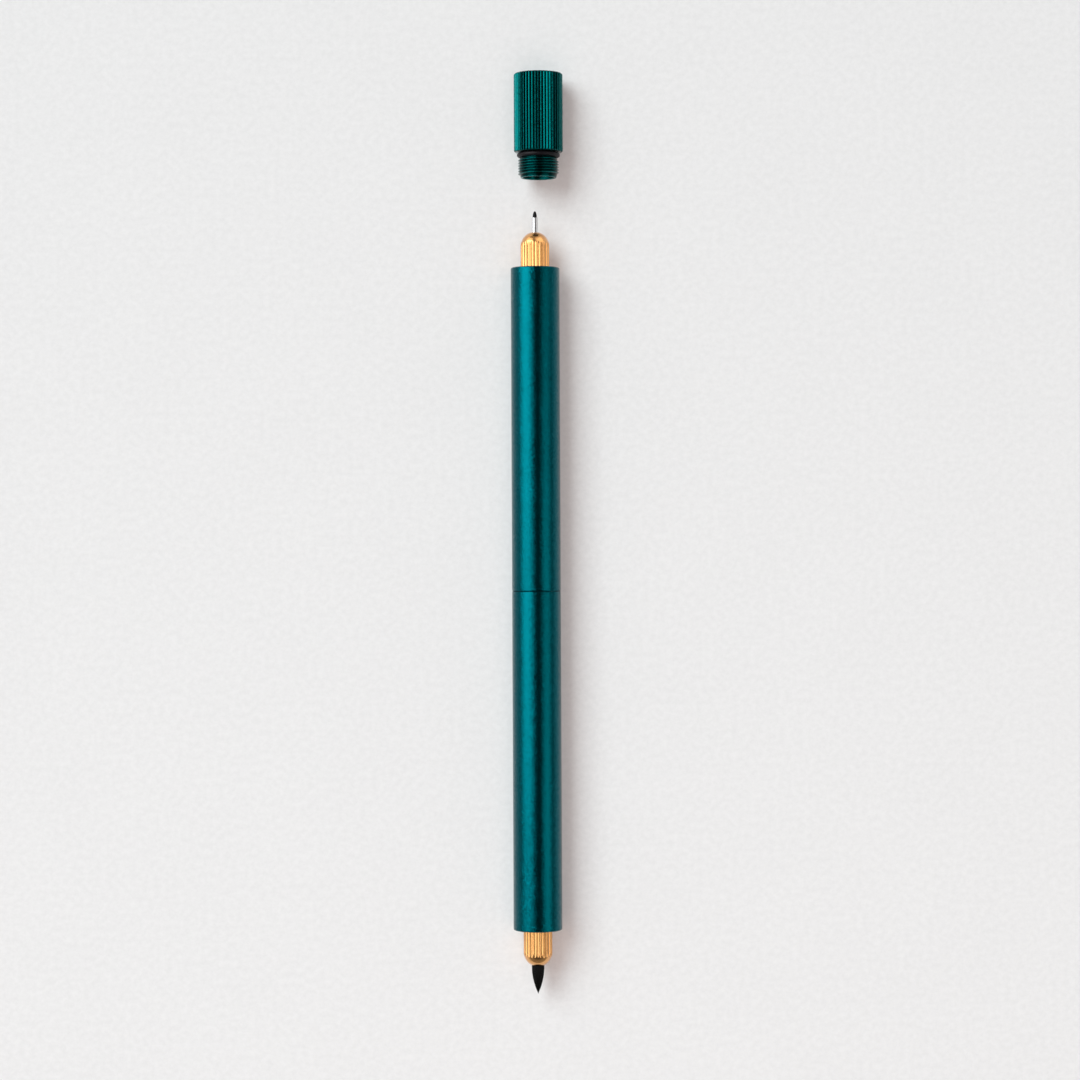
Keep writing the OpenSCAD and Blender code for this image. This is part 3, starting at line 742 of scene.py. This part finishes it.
# Screw threads, on the spigots and in the barrels' mouths
thread = {"pitch": 0.5, "depth": 0.27, "crest": 0.0625, "flankAngle": 30, "fade": 0.2, "rowsPerPitch": 12,
          "screwTurns": 6, "screwRadius": 3.48, "nutTurns": 9, "nutRadius": 3.6}
spigot = {"neckRadius": 3.1, "neckLength": 1.03, "coneFrom": 3.443, "coneTo": 3.283, "coneLength": 0.7,
          "lead": 0.45, "bore": 2.9, "edge": 0.05, "neckSoft": 0.04, "tipSoft": 0.06, "boreSoft": 0.03}
seat = {"radius": 4.05, "depth": 0.93, "edge": 0.15, "threadEnd": 4.93, "bore": 3.3,
        "outerSoft": 0.06, "lipSoft": 0.03, "wallSoft": 0.05, "boreSoft": 0.04}
screwLength = thread["screwTurns"] * thread["pitch"]
screwStart = spigot["neckLength"] + screwLength  # below a shoulder
spigotLength = screwStart + spigot["coneLength"]


def cutThread(piece, finish, axis, start, heading, turns):
    flank = thread["depth"] * math.tan(math.radians(thread["flankAngle"]))
    sizes = {"Start": start * mm, "Pitch": thread["pitch"] * mm, "Depth": thread["depth"] * mm,
             "Base": (thread["crest"] / 2 + flank) * mm, "Flank": flank * mm, "Heading": heading,
             "Turns": turns, "Fade": thread["fade"]}
    return workPiece(piece, threadRule, finish, {**axisSizes(axis), **sizes})


def spigotCorners(shoulder):
    # below a shoulder, from the neck to the bore
    neckEnd = shoulder - spigot["neckLength"]
    screwEnd = shoulder - screwStart
    tip = shoulder - spigotLength
    rows = thread["screwTurns"] * thread["rowsPerPitch"]
    fall = (spigot["coneFrom"] - spigot["coneTo"]) / spigot["coneLength"]
    leadRadius = spigot["coneFrom"] - fall * spigot["lead"]
    return [
        corner(spigot["neckRadius"], shoulder, spigot["neckSoft"]),
        corner(spigot["neckRadius"], neckEnd, spigot["neckSoft"]),
        corner(thread["screwRadius"] - spigot["edge"], neckEnd),
        corner(thread["screwRadius"], neckEnd - spigot["edge"], rule="thread", rows=rows),
        corner(thread["screwRadius"], screwEnd, rule="thread", rows=rows),
        corner(spigot["coneFrom"], screwEnd - spigot["edge"], rule="thread", rows=thread["rowsPerPitch"]),
        corner(leadRadius, screwEnd - spigot["lead"], rule="thread", rows=thread["rowsPerPitch"]),
        corner(spigot["coneTo"], tip, spigot["tipSoft"]),
        corner(spigot["bore"] + seat["edge"], tip, spigot["boreSoft"]),
        corner(spigot["bore"], tip + seat["edge"], spigot["boreSoft"]),
    ]


def seatCorners(mouth, heading, edge):
    # a barrel's mouth, from its outer edge in to the bore
    rows = round((seat["threadEnd"] - seat["depth"]) / thread["pitch"] * thread["rowsPerPitch"])
    return [
        corner(penRadius, mouth - heading * edge, seat["outerSoft"]),
        corner(penRadius - edge, mouth, seat["outerSoft"]),
        corner(seat["radius"] + seat["edge"], mouth, seat["lipSoft"]),
        corner(seat["radius"], mouth - heading * seat["edge"], seat["wallSoft"]),
        corner(seat["radius"], mouth - heading * seat["depth"], seat["wallSoft"]),
        corner(thread["nutRadius"], mouth - heading * seat["depth"], rule="thread", rows=rows),
        corner(thread["nutRadius"], mouth - heading * seat["threadEnd"], rule="thread", rows=rows),
        corner(seat["bore"], mouth - heading * seat["threadEnd"], seat["boreSoft"]),
    ]


# Barrels, each one loop from a mouth's outer edge through the bore and back along the outside
barrel = {"mouthEdge": 0.16, "seamEdge": 0.1, "seamShut": 0.07, "steps": 144, "joinerBore": 3.53,
          "joinerDepth": 8.55, "boreSoft": 0.05, "seamSoft": 0.04}


def makeUpperBarrel():
    corners = seatCorners(upperMouth, 1, barrel["mouthEdge"]) + [
        corner(seat["bore"], upperSeam + barrel["joinerDepth"]),
        corner(barrel["joinerBore"], upperSeam + barrel["joinerDepth"]),
        corner(barrel["joinerBore"], upperSeam, barrel["boreSoft"]),
        corner(penRadius - barrel["seamEdge"], upperSeam, barrel["seamSoft"]),
        corner(penRadius, upperSeam + barrel["seamEdge"], barrel["seamSoft"]),
    ]
    piece = turnedBlank("upperBarrel", corners, penAxis, barrel["steps"])
    cutThread(piece, barrelTeal, penAxis, upperMouth - seat["threadEnd"], 1, thread["nutTurns"])
    return finishPiece(piece, "upper_half", "upper_barrel")


def makeLowerBarrel():
    corners = seatCorners(lowerMouth, -1, barrel["mouthEdge"])
    corners += reversed(seatCorners(lowerSeam + barrel["seamShut"], 1, barrel["seamEdge"]))
    piece = turnedBlank("lowerBarrel", corners, penAxis, barrel["steps"])
    cutThread(piece, barrelTeal, penAxis, lowerMouth + seat["threadEnd"], -1, thread["nutTurns"])
    cutThread(piece, barrelTeal, penAxis, lowerSeam - seat["threadEnd"], 1, thread["nutTurns"])
    return finishPiece(piece, "lower_half", "lower_barrel")


makeUpperBarrel()
makeLowerBarrel()

# Centre joiner, bonded in the upper barrel
joiner = {"length": 8.5, "edge": 0.15, "edgeSoft": 0.04, "steps": 144}


def makeCentreJoiner():
    top = upperSeam + joiner["length"]
    radius = thread["screwRadius"]
    corners = spigotCorners(upperSeam) + [
        corner(spigot["bore"], top),
        corner(radius - joiner["edge"], top, joiner["edgeSoft"]),
        corner(radius, top - joiner["edge"], joiner["edgeSoft"]),
        corner(radius, upperSeam),
    ]
    piece = turnedBlank("centreJoiner", corners, penAxis, joiner["steps"])
    start = upperSeam - screwStart - thread["pitch"]
    cutThread(piece, finishes["steel"], penAxis, start, 1, thread["screwTurns"] + 1)
    return finishPiece(piece, "upper_half", "centre_joiner")


makeCentreJoiner()

# Noses, with flutes that run out on a domed end
nose = {"radius": 2.65, "reach": 6.5, "front": 5.48, "back": 14.48, "bodyRadius": 3.25, "edge": 0.15,
        "flutes": 28, "fluteDepth": 0.11, "cutter": 0.38, "stepsPerFlute": 18, "domeCuts": 40,
        "stemBore": 1.5, "stemTop": 4.5, "collarBore": 2.2, "collarFront": 8.48,
        "ringPlace": 7.73, "ringGroove": 0.7, "ringFloor": 2.66, "runOut": 0.02, "holeSoft": 0.02}
finelinerEnd = {"hole": 0.565, "flat": 0.9}
brushEnd = {"hole": 1.18, "flat": 1.23}


def noseCorners(mouth, heading, end):
    def at(reach):
        return mouth + heading * reach
    radius, body, edge = nose["radius"], nose["bodyRadius"], nose["edge"]
    roundPlace = nose["reach"] - math.sqrt(radius ** 2 - end["flat"] ** 2)
    domeAngle = math.degrees(math.acos(end["flat"] / radius))
    ringFront = -nose["ringPlace"] + nose["ringGroove"] / 2
    ringBack = -nose["ringPlace"] - nose["ringGroove"] / 2
    fluteEnd = edge - nose["front"]
    return [
        corner(end["hole"], at(nose["stemTop"])),
        corner(end["hole"], at(nose["reach"]), nose["holeSoft"]),
        *arcCorners(at(roundPlace), radius, domeAngle, 0, nose["domeCuts"], "flute", heading),
        corner(radius, at(fluteEnd), rule="flute"),
        corner(radius, at(fluteEnd - nose["runOut"])),
        corner(radius, at(-nose["front"])),
        corner(body - edge, at(-nose["front"])),
        corner(body, at(-nose["front"] - edge)),
        corner(body, at(ringFront)),
        corner(nose["ringFloor"], at(ringFront)),
        corner(nose["ringFloor"], at(ringBack)),
        corner(body, at(ringBack)),
        corner(body, at(edge - nose["back"])),
        corner(body - edge, at(-nose["back"])),
        corner(nose["collarBore"], at(-nose["back"])),
        corner(nose["collarBore"], at(-nose["collarFront"])),
        corner(nose["stemBore"], at(-nose["collarFront"])),
        corner(nose["stemBore"], at(nose["stemTop"])),
    ]


def makeNose(name, node, body, mouth, heading, end):
    steps = nose["flutes"] * nose["stepsPerFlute"]
    piece = turnedBlank(name, noseCorners(mouth, heading, end), penAxis, steps)
    place = nose["radius"] - nose["fluteDepth"] + nose["cutter"]
    sizes = {"Count": nose["flutes"], "Cutter": nose["cutter"] * mm, "Place": place * mm}
    workPiece(piece, fluteRule, finishes["polished_brass"], {**axisSizes(penAxis), **sizes})
    return finishPiece(piece, body, node)


finelinerNose = makeNose("finelinerNose", "fineliner_nose", "upper_half", upperMouth, 1, finelinerEnd)
makeNose("brushNose", "brush_nose", "lower_half", lowerMouth, -1, brushEnd)


def paint(piece, finish):
    piece.data.materials.clear()
    piece.data.materials.append(finish)


# Needle sleeve and its fibre nib
needle = {"radius": 0.545, "bore": 0.405, "edge": 0.05, "boreSoft": 0.02, "edgeSoft": 0.03, "steps": 64}
nib = {"radius": 0.385, "full": 2.3, "pointCuts": 20, "steps": 48}


def makeNeedleSleeve():
    low, high = spanOf("needle_sleeve")
    radius, edge = needle["radius"], needle["edge"]
    corners = [
        corner(needle["bore"], low),
        corner(needle["bore"], high, needle["boreSoft"]),
        corner(radius - edge, high, needle["edgeSoft"]),
        corner(radius, high - edge, needle["edgeSoft"]),
        corner(radius, low + edge),
        corner(radius - edge, low),
    ]
    piece = turnedBlank("needleSleeve", corners, penAxis, needle["steps"])
    paint(piece, finishes["steel"])
    return finishPiece(piece, "upper_half", "needle_sleeve")


def makeFinelinerNib():
    low, high = spanOf("fineliner_nib")
    root = spanOf("needle_sleeve")[1]
    corners = [corner(0, low), corner(nib["radius"], low)]
    for cut in range(nib["pointCuts"] + 1):
        reach = math.sin(math.pi / 2 * cut / nib["pointCuts"])
        radius = nib["radius"] * math.sqrt(max(0, 1 - reach ** nib["full"]))
        corners.append(corner(radius, root + (high - root) * reach))
    piece = turnedBlank("finelinerNib", corners, penAxis, nib["steps"])
    paint(piece, finishes["nib_fibre"])
    return finishPiece(piece, "upper_half", "fineliner_nib")


makeNeedleSleeve()
makeFinelinerNib()

# Brush: strands laid over a slimmer core, all drawn to one point
brush = {"radius": 1.16, "pointLength": 5.0, "lead": 0.7, "strand": 0.045, "strands": 130, "uneven": 0.93,
         "coreInset": 0.03, "coreShort": 0.25, "coreCuts": 20, "coreSteps": 64, "seed": 7,
         "sharpAngle": 80}


def makeBrushTip():
    point, tail = spanOf("brush_tip")
    start = point + brush["pointLength"]
    root = brush["radius"] - brush["coreInset"]
    length = brush["pointLength"] - brush["coreShort"]
    arc = (root ** 2 + length ** 2) / (2 * root)
    corners = [corner(0, tail), corner(root, tail)]
    for cut in range(brush["coreCuts"] + 1):
        reach = length * cut / brush["coreCuts"]
        radius = math.sqrt(arc ** 2 - reach ** 2) - arc + root
        corners.append(corner(max(radius, 0), start - reach))
    corners[-1]["radius"] = 0
    piece = turnedBlank("brushTip", corners, penAxis, brush["coreSteps"])
    sizes = {"Heading": -1, "Start": start * mm, "Lead": brush["lead"] * mm,
             "Length": brush["pointLength"] * mm, "Root": brush["radius"] * mm,
             "Strand": brush["strand"] * mm, "Count": brush["strands"], "Uneven": brush["uneven"],
             "Seed": brush["seed"]}
    workPiece(piece, strandRule, finishes["brush_fibre"], {**axisSizes(penAxis), **sizes})
    return finishPiece(piece, "lower_half", "brush_tip", brush["sharpAngle"])


makeBrushTip()

# Cap: ribbed body with a threaded spigot
cap = {"edge": 0.22, "ribs": 48, "ribDepth": 0.22, "ribLand": 1 / 6, "stepsPerRib": 12,
       "lip": 3.05, "lipPlace": 7.09, "endWall": 1.2, "boreSoft": 0.1, "edgeSoft": 0.06, "rim": 0.15}
# painted shade low in the rib grooves and between thread turns; tone is how dark the bottom is painted
ribValleyShade = {"mark": "rib", "low": penRadius - 0.9 * cap["ribDepth"],
             "high": penRadius - 0.1 * cap["ribDepth"], "tone": 0.15}
threadValleyShade = {"mark": "thread", "low": thread["screwRadius"] + 0.02, "high": thread["screwRadius"] + 0.22,
                "tone": 0.15}
capLook = {"dark": (0.0002, 0.094, 0.093), "light": (0.0003, 0.124, 0.122), "grain": 0.36, "lines": 0.09,
           "waver": 7.0, "smooth": 0.19, "rough": 0.26, "grainDepth": 0.030, "lineDepth": 0.0006,
           "facet": 0.13, "facetTilt": 0.12, "cloudTone": 0.4, "cloudWear": 0.5,
           "valleyShades": [ribValleyShade, threadValleyShade]}
capTeal = makeAnodisedTeal("anodisedTealCap", capAxis, capLook)


def makeCapShell():
    shoulder = capMouth + spigotLength
    edge, soft = cap["edge"], cap["edgeSoft"]
    boreEnd = capTop - cap["endWall"]
    corners = [
        corner(0, capTop),
        corner(penRadius - edge - cap["rim"], capTop),
        corner(penRadius - edge, capTop, soft, "rib"),
        corner(penRadius, capTop - edge, soft, "rib"),
        corner(penRadius, shoulder + edge, soft, "rib"),
        corner(penRadius - edge, shoulder, soft, "rib"),
        corner(penRadius - edge - cap["rim"], shoulder),
        *spigotCorners(shoulder),
        corner(spigot["bore"], shoulder + cap["lipPlace"]),
        corner(cap["lip"], shoulder + cap["lipPlace"]),
        corner(cap["lip"], boreEnd, cap["boreSoft"]),
        corner(0, boreEnd),
    ]
    piece = turnedBlank("capShell", corners, capAxis, cap["ribs"] * cap["stepsPerRib"])
    sizes = {"Count": cap["ribs"], "Depth": cap["ribDepth"] * mm, "Radius": penRadius * mm,
             "Land": cap["ribLand"]}
    workPiece(piece, ribRule, capTeal, {**axisSizes(capAxis), **sizes})
    cutThread(piece, capTeal, capAxis, shoulder - screwStart - thread["pitch"], 1, thread["screwTurns"] + 1)
    return finishPiece(piece, "cap", "cap_shell")


makeCapShell()

# Sealing rings on the two spigots
ring = {"sectionCuts": 28, "steps": 144}


def makeRing(name, node, body, axis, finish):
    low, high = spanOf(node)
    section = (high - low) / 2
    middle = radiusOf(node) - section
    place = (low + high) / 2
    corners = []
    for cut in range(ring["sectionCuts"]):
        angle = 2 * math.pi * cut / ring["sectionCuts"]
        corners.append(corner(middle + section * math.cos(angle), place + section * math.sin(angle)))
    piece = turnedBlank(name, corners, axis, ring["steps"])
    paint(piece, finish)
    return finishPiece(piece, body, node)


makeRing("capRing", "cap_o_ring", "cap_ring", capAxis, capRubber)
makeRing("jointRing", "joint_o_ring", "upper_half", penAxis, finishes["seal_rubber"])

# Floating inner cap and the spring behind it
innerCap = {"radius": 2.8, "flange": 0.6, "rim": 0.5, "seat": 2.75, "cavity": 1.1, "top": 0.5, "steps": 96,
            "seatCuts": 12, "cavitySoft": 0.08, "edgeSoft": 0.06, "flangeSoft": 0.04}
spring = {"radius": 2.4, "wire": 0.3, "coils": 5, "closed": 0.15, "keep": 0.36}


def makeInnerCap():
    rim, back = spanOf("inner_cap")
    rimEdge = innerCap["radius"] - innerCap["rim"]
    centre = rim - math.sqrt(innerCap["seat"] ** 2 - rimEdge ** 2)
    fromAngle = math.degrees(math.acos(innerCap["cavity"] / innerCap["seat"]))
    toAngle = math.degrees(math.acos(rimEdge / innerCap["seat"]))
    flangeRadius = radiusOf("inner_cap")
    corners = [
        corner(0, back - innerCap["top"]),
        corner(innerCap["cavity"], back - innerCap["top"], innerCap["cavitySoft"]),
        *arcCorners(centre, innerCap["seat"], fromAngle, toAngle, innerCap["seatCuts"]),
        corner(innerCap["radius"], rim, innerCap["edgeSoft"]),
        corner(innerCap["radius"], back - innerCap["flange"]),
        corner(flangeRadius, back - innerCap["flange"], innerCap["flangeSoft"]),
        corner(flangeRadius, back, innerCap["edgeSoft"]),
        corner(0, back),
    ]
    piece = turnedBlank("innerCap", corners, capAxis, innerCap["steps"])
    paint(piece, finishes["white_plastic"])
    return finishPiece(piece, "cap_liner", "inner_cap")


def makeCapSpring():
    low, high = spanOf("cap_spring")
    piece = bpy.data.objects.new("capSpring", bpy.data.meshes.new("capSpring"))
    bpy.context.scene.collection.objects.link(piece)
    sizes = {"Heading": 1, "Start": low * mm, "Length": (high - low) * mm, "Radius": spring["radius"] * mm,
             "Wire": spring["wire"] * mm, "Coils": spring["coils"], "Closed": spring["closed"]}
    workPiece(piece, coilRule, finishes["steel"], {**axisSizes(capAxis), **sizes})
    finishPiece(piece, "cap_ring", "cap_spring")
    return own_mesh(piece)


makeInnerCap()
makeCapSpring()

# Inner pieces keep their solids and get the finish of their slot
for part in frame["record"]["subparts"]:
    node = frame["nodes"][part["node"]]
    if not node.hide_render:
        paint(node, finishes[part["material_slot"]])

# Paper, light and camera
paper = {"size": 6.0, "drop": 0.02, "dark": (0.815, 0.815, 0.815), "light": (0.865, 0.865, 0.865),
         "grain": 1.1, "toothDepth": 0.05, "cloudTone": 0.15, "smooth": 0.85, "rough": 0.95, "gloss": 0.2}


def makePaper():
    finish, tree, shader, vector = newFinish("drawingPaper", (0, 0))
    grain = grainOf(tree, vector, paper)
    tooth = mixOf(tree, grain["Grain"], grain["Cloud"], paper["cloudTone"])
    color = toneOf(tree, tooth, paper)
    rough = roughOf(tree, grain["Grain"], paper)
    setShader(tree, shader, color, rough, reliefOf(tree, grain["Grain"], paper["toothDepth"]),
              {"Specular IOR Level": paper["gloss"]})
    half = paper["size"] / 2
    mesh = bpy.data.meshes.new("paper")
    corners = [(-half, -half), (half, -half), (half, half), (-half, half)]
    mesh.from_pydata([(x, y, -paper["drop"] * mm) for x, y in corners], [], [(0, 1, 2, 3)])
    sheet = bpy.data.objects.new("paper", mesh)
    bpy.context.scene.collection.objects.link(sheet)
    paint(sheet, finish)
    return sheet


def lampGroup(name, member, state):
    group = bpy.data.collections.new(name)
    group.objects.link(member)
    group.collection_objects[0].light_linking.link_state = state
    return group


# Angles in degrees, seen from the pen: lean is to the right of straight up, tip is towards the cap, and
# wide and tall are the lamp's own; away is in metres
lamps = {
    "windowWing": {"lean": -45, "tip": 11, "wide": 64, "tall": 68, "away": 0.7, "glow": 1.45,
                   "color": (0.97, 0.99, 1.0), "lights": "pen"},
    "windowCore": {"lean": -45, "tip": 15, "wide": 40, "tall": 56, "away": 0.7, "glow": 2.0,
                   "color": (0.98, 0.99, 1.0), "lights": "pen"},
    "warmWall": {"lean": 47, "tip": -12, "wide": 35, "tall": 37, "away": 0.7, "glow": 1.6,
                 "color": (1.0, 0.95, 0.91), "lights": "pen"},
    "farWindow": {"lean": -60, "tip": 38, "wide": 46, "tall": 50, "away": 0.7, "glow": 1.2,
                  "color": (0.98, 0.99, 1.0), "lights": "pen"},
    "farWall": {"lean": 58, "tip": 36, "wide": 50, "tall": 50, "away": 0.7, "glow": 0.6,
                "color": (1.0, 0.96, 0.93), "lights": "pen"},
    "noseFill": {"lean": 45, "tip": 26, "wide": 60, "tall": 88, "away": 0.7, "glow": 0.8,
                 "color": (1.0, 0.95, 0.90), "lights": "finelinerNose"},
    "paperKey": {"lean": -35, "tip": 28, "wide": 32, "tall": 40, "away": 5.0, "glow": 5.9,
                 "color": (0.86, 0.975, 1.0), "lights": "paper"},
    "paperFill": {"lean": 0, "tip": -20, "wide": 60, "tall": 60, "away": 1.0, "glow": 1.62,
                  "color": (1.0, 0.86, 0.83), "lights": "paper"},
}


def makeLamp(name, lamp):
    light = bpy.data.lights.new(name, "AREA")
    light.shape = "RECTANGLE"
    light.size = 2 * lamp["away"] * math.tan(math.radians(lamp["wide"] / 2))
    light.size_y = 2 * lamp["away"] * math.tan(math.radians(lamp["tall"] / 2))
    light.energy = lamp["glow"] * math.pi * light.size * light.size_y
    light.color = lamp["color"]
    light.use_shadow = name != "paperFill"  # an even lift of the paper
    holder = bpy.data.objects.new(name, light)
    lean, tip = math.radians(lamp["lean"]), math.radians(lamp["tip"])
    towardsLamp = (math.sin(lean) * math.cos(tip), math.sin(tip), math.cos(lean) * math.cos(tip))
    holder.location = [part * lamp["away"] for part in towardsLamp]
    holder.rotation_euler = (-tip, lean, 0)
    holder.visible_camera = False
    holder.light_linking.receiver_collection = lampGroups[lamp["lights"]]
    bpy.context.scene.collection.objects.link(holder)


def makeRoom():
    # a plain room: pale at eye level, dark overhead
    room = {"heights": (0.0, 0.35, 0.75, 0.95), "tones": (0.28, 0.30, 0.06, 0.05)}
    world = bpy.data.worlds.new("room")
    bpy.context.scene.world = world
    world.use_nodes = True
    tree = world.node_tree
    parts = partsOf(tree, tree.nodes.new("ShaderNodeTexCoord").outputs["Generated"])
    ramp = tree.nodes.new("ShaderNodeValToRGB")
    elements = ramp.color_ramp.elements
    while len(elements) < len(room["heights"]):
        elements.new(0.5)
    for element, height, tone in zip(elements, room["heights"], room["tones"]):
        element.position = height
        element.color = (tone, tone, tone, 1)
    tree.links.new(parts["Z"], ramp.inputs["Fac"])
    tree.links.new(ramp.outputs["Color"], tree.nodes["Background"].inputs["Color"])


def makeCamera():
    view = {"lens": 100, "sensor": 36, "x": 0.70, "y": -1.16, "height": 558.9, "roll": -0.257,
            "clip": 10}
    lens = bpy.data.cameras.new("overhead")
    lens.lens = view["lens"]
    lens.sensor_width = view["sensor"]
    lens.clip_start = view["clip"] * mm
    camera = bpy.data.objects.new("overhead", lens)
    camera.location = (view["x"] * mm, view["y"] * mm, view["height"] * mm)
    camera.rotation_euler = (0, 0, math.radians(view["roll"]))
    bpy.context.scene.collection.objects.link(camera)
    bpy.context.scene.camera = camera


paperSheet = makePaper()
lampGroups = {"paper": lampGroup("paperLamps", paperSheet, "INCLUDE"),
              "pen": lampGroup("penLamps", paperSheet, "EXCLUDE"),
              "finelinerNose": lampGroup("noseLamps", finelinerNose, "INCLUDE")}
for lampName, lampLook in lamps.items():
    makeLamp(lampName, lampLook)
makeRoom()
makeCamera()
bpy.context.scene.view_settings.view_transform = "Standard"
print("paper, light and camera ready")
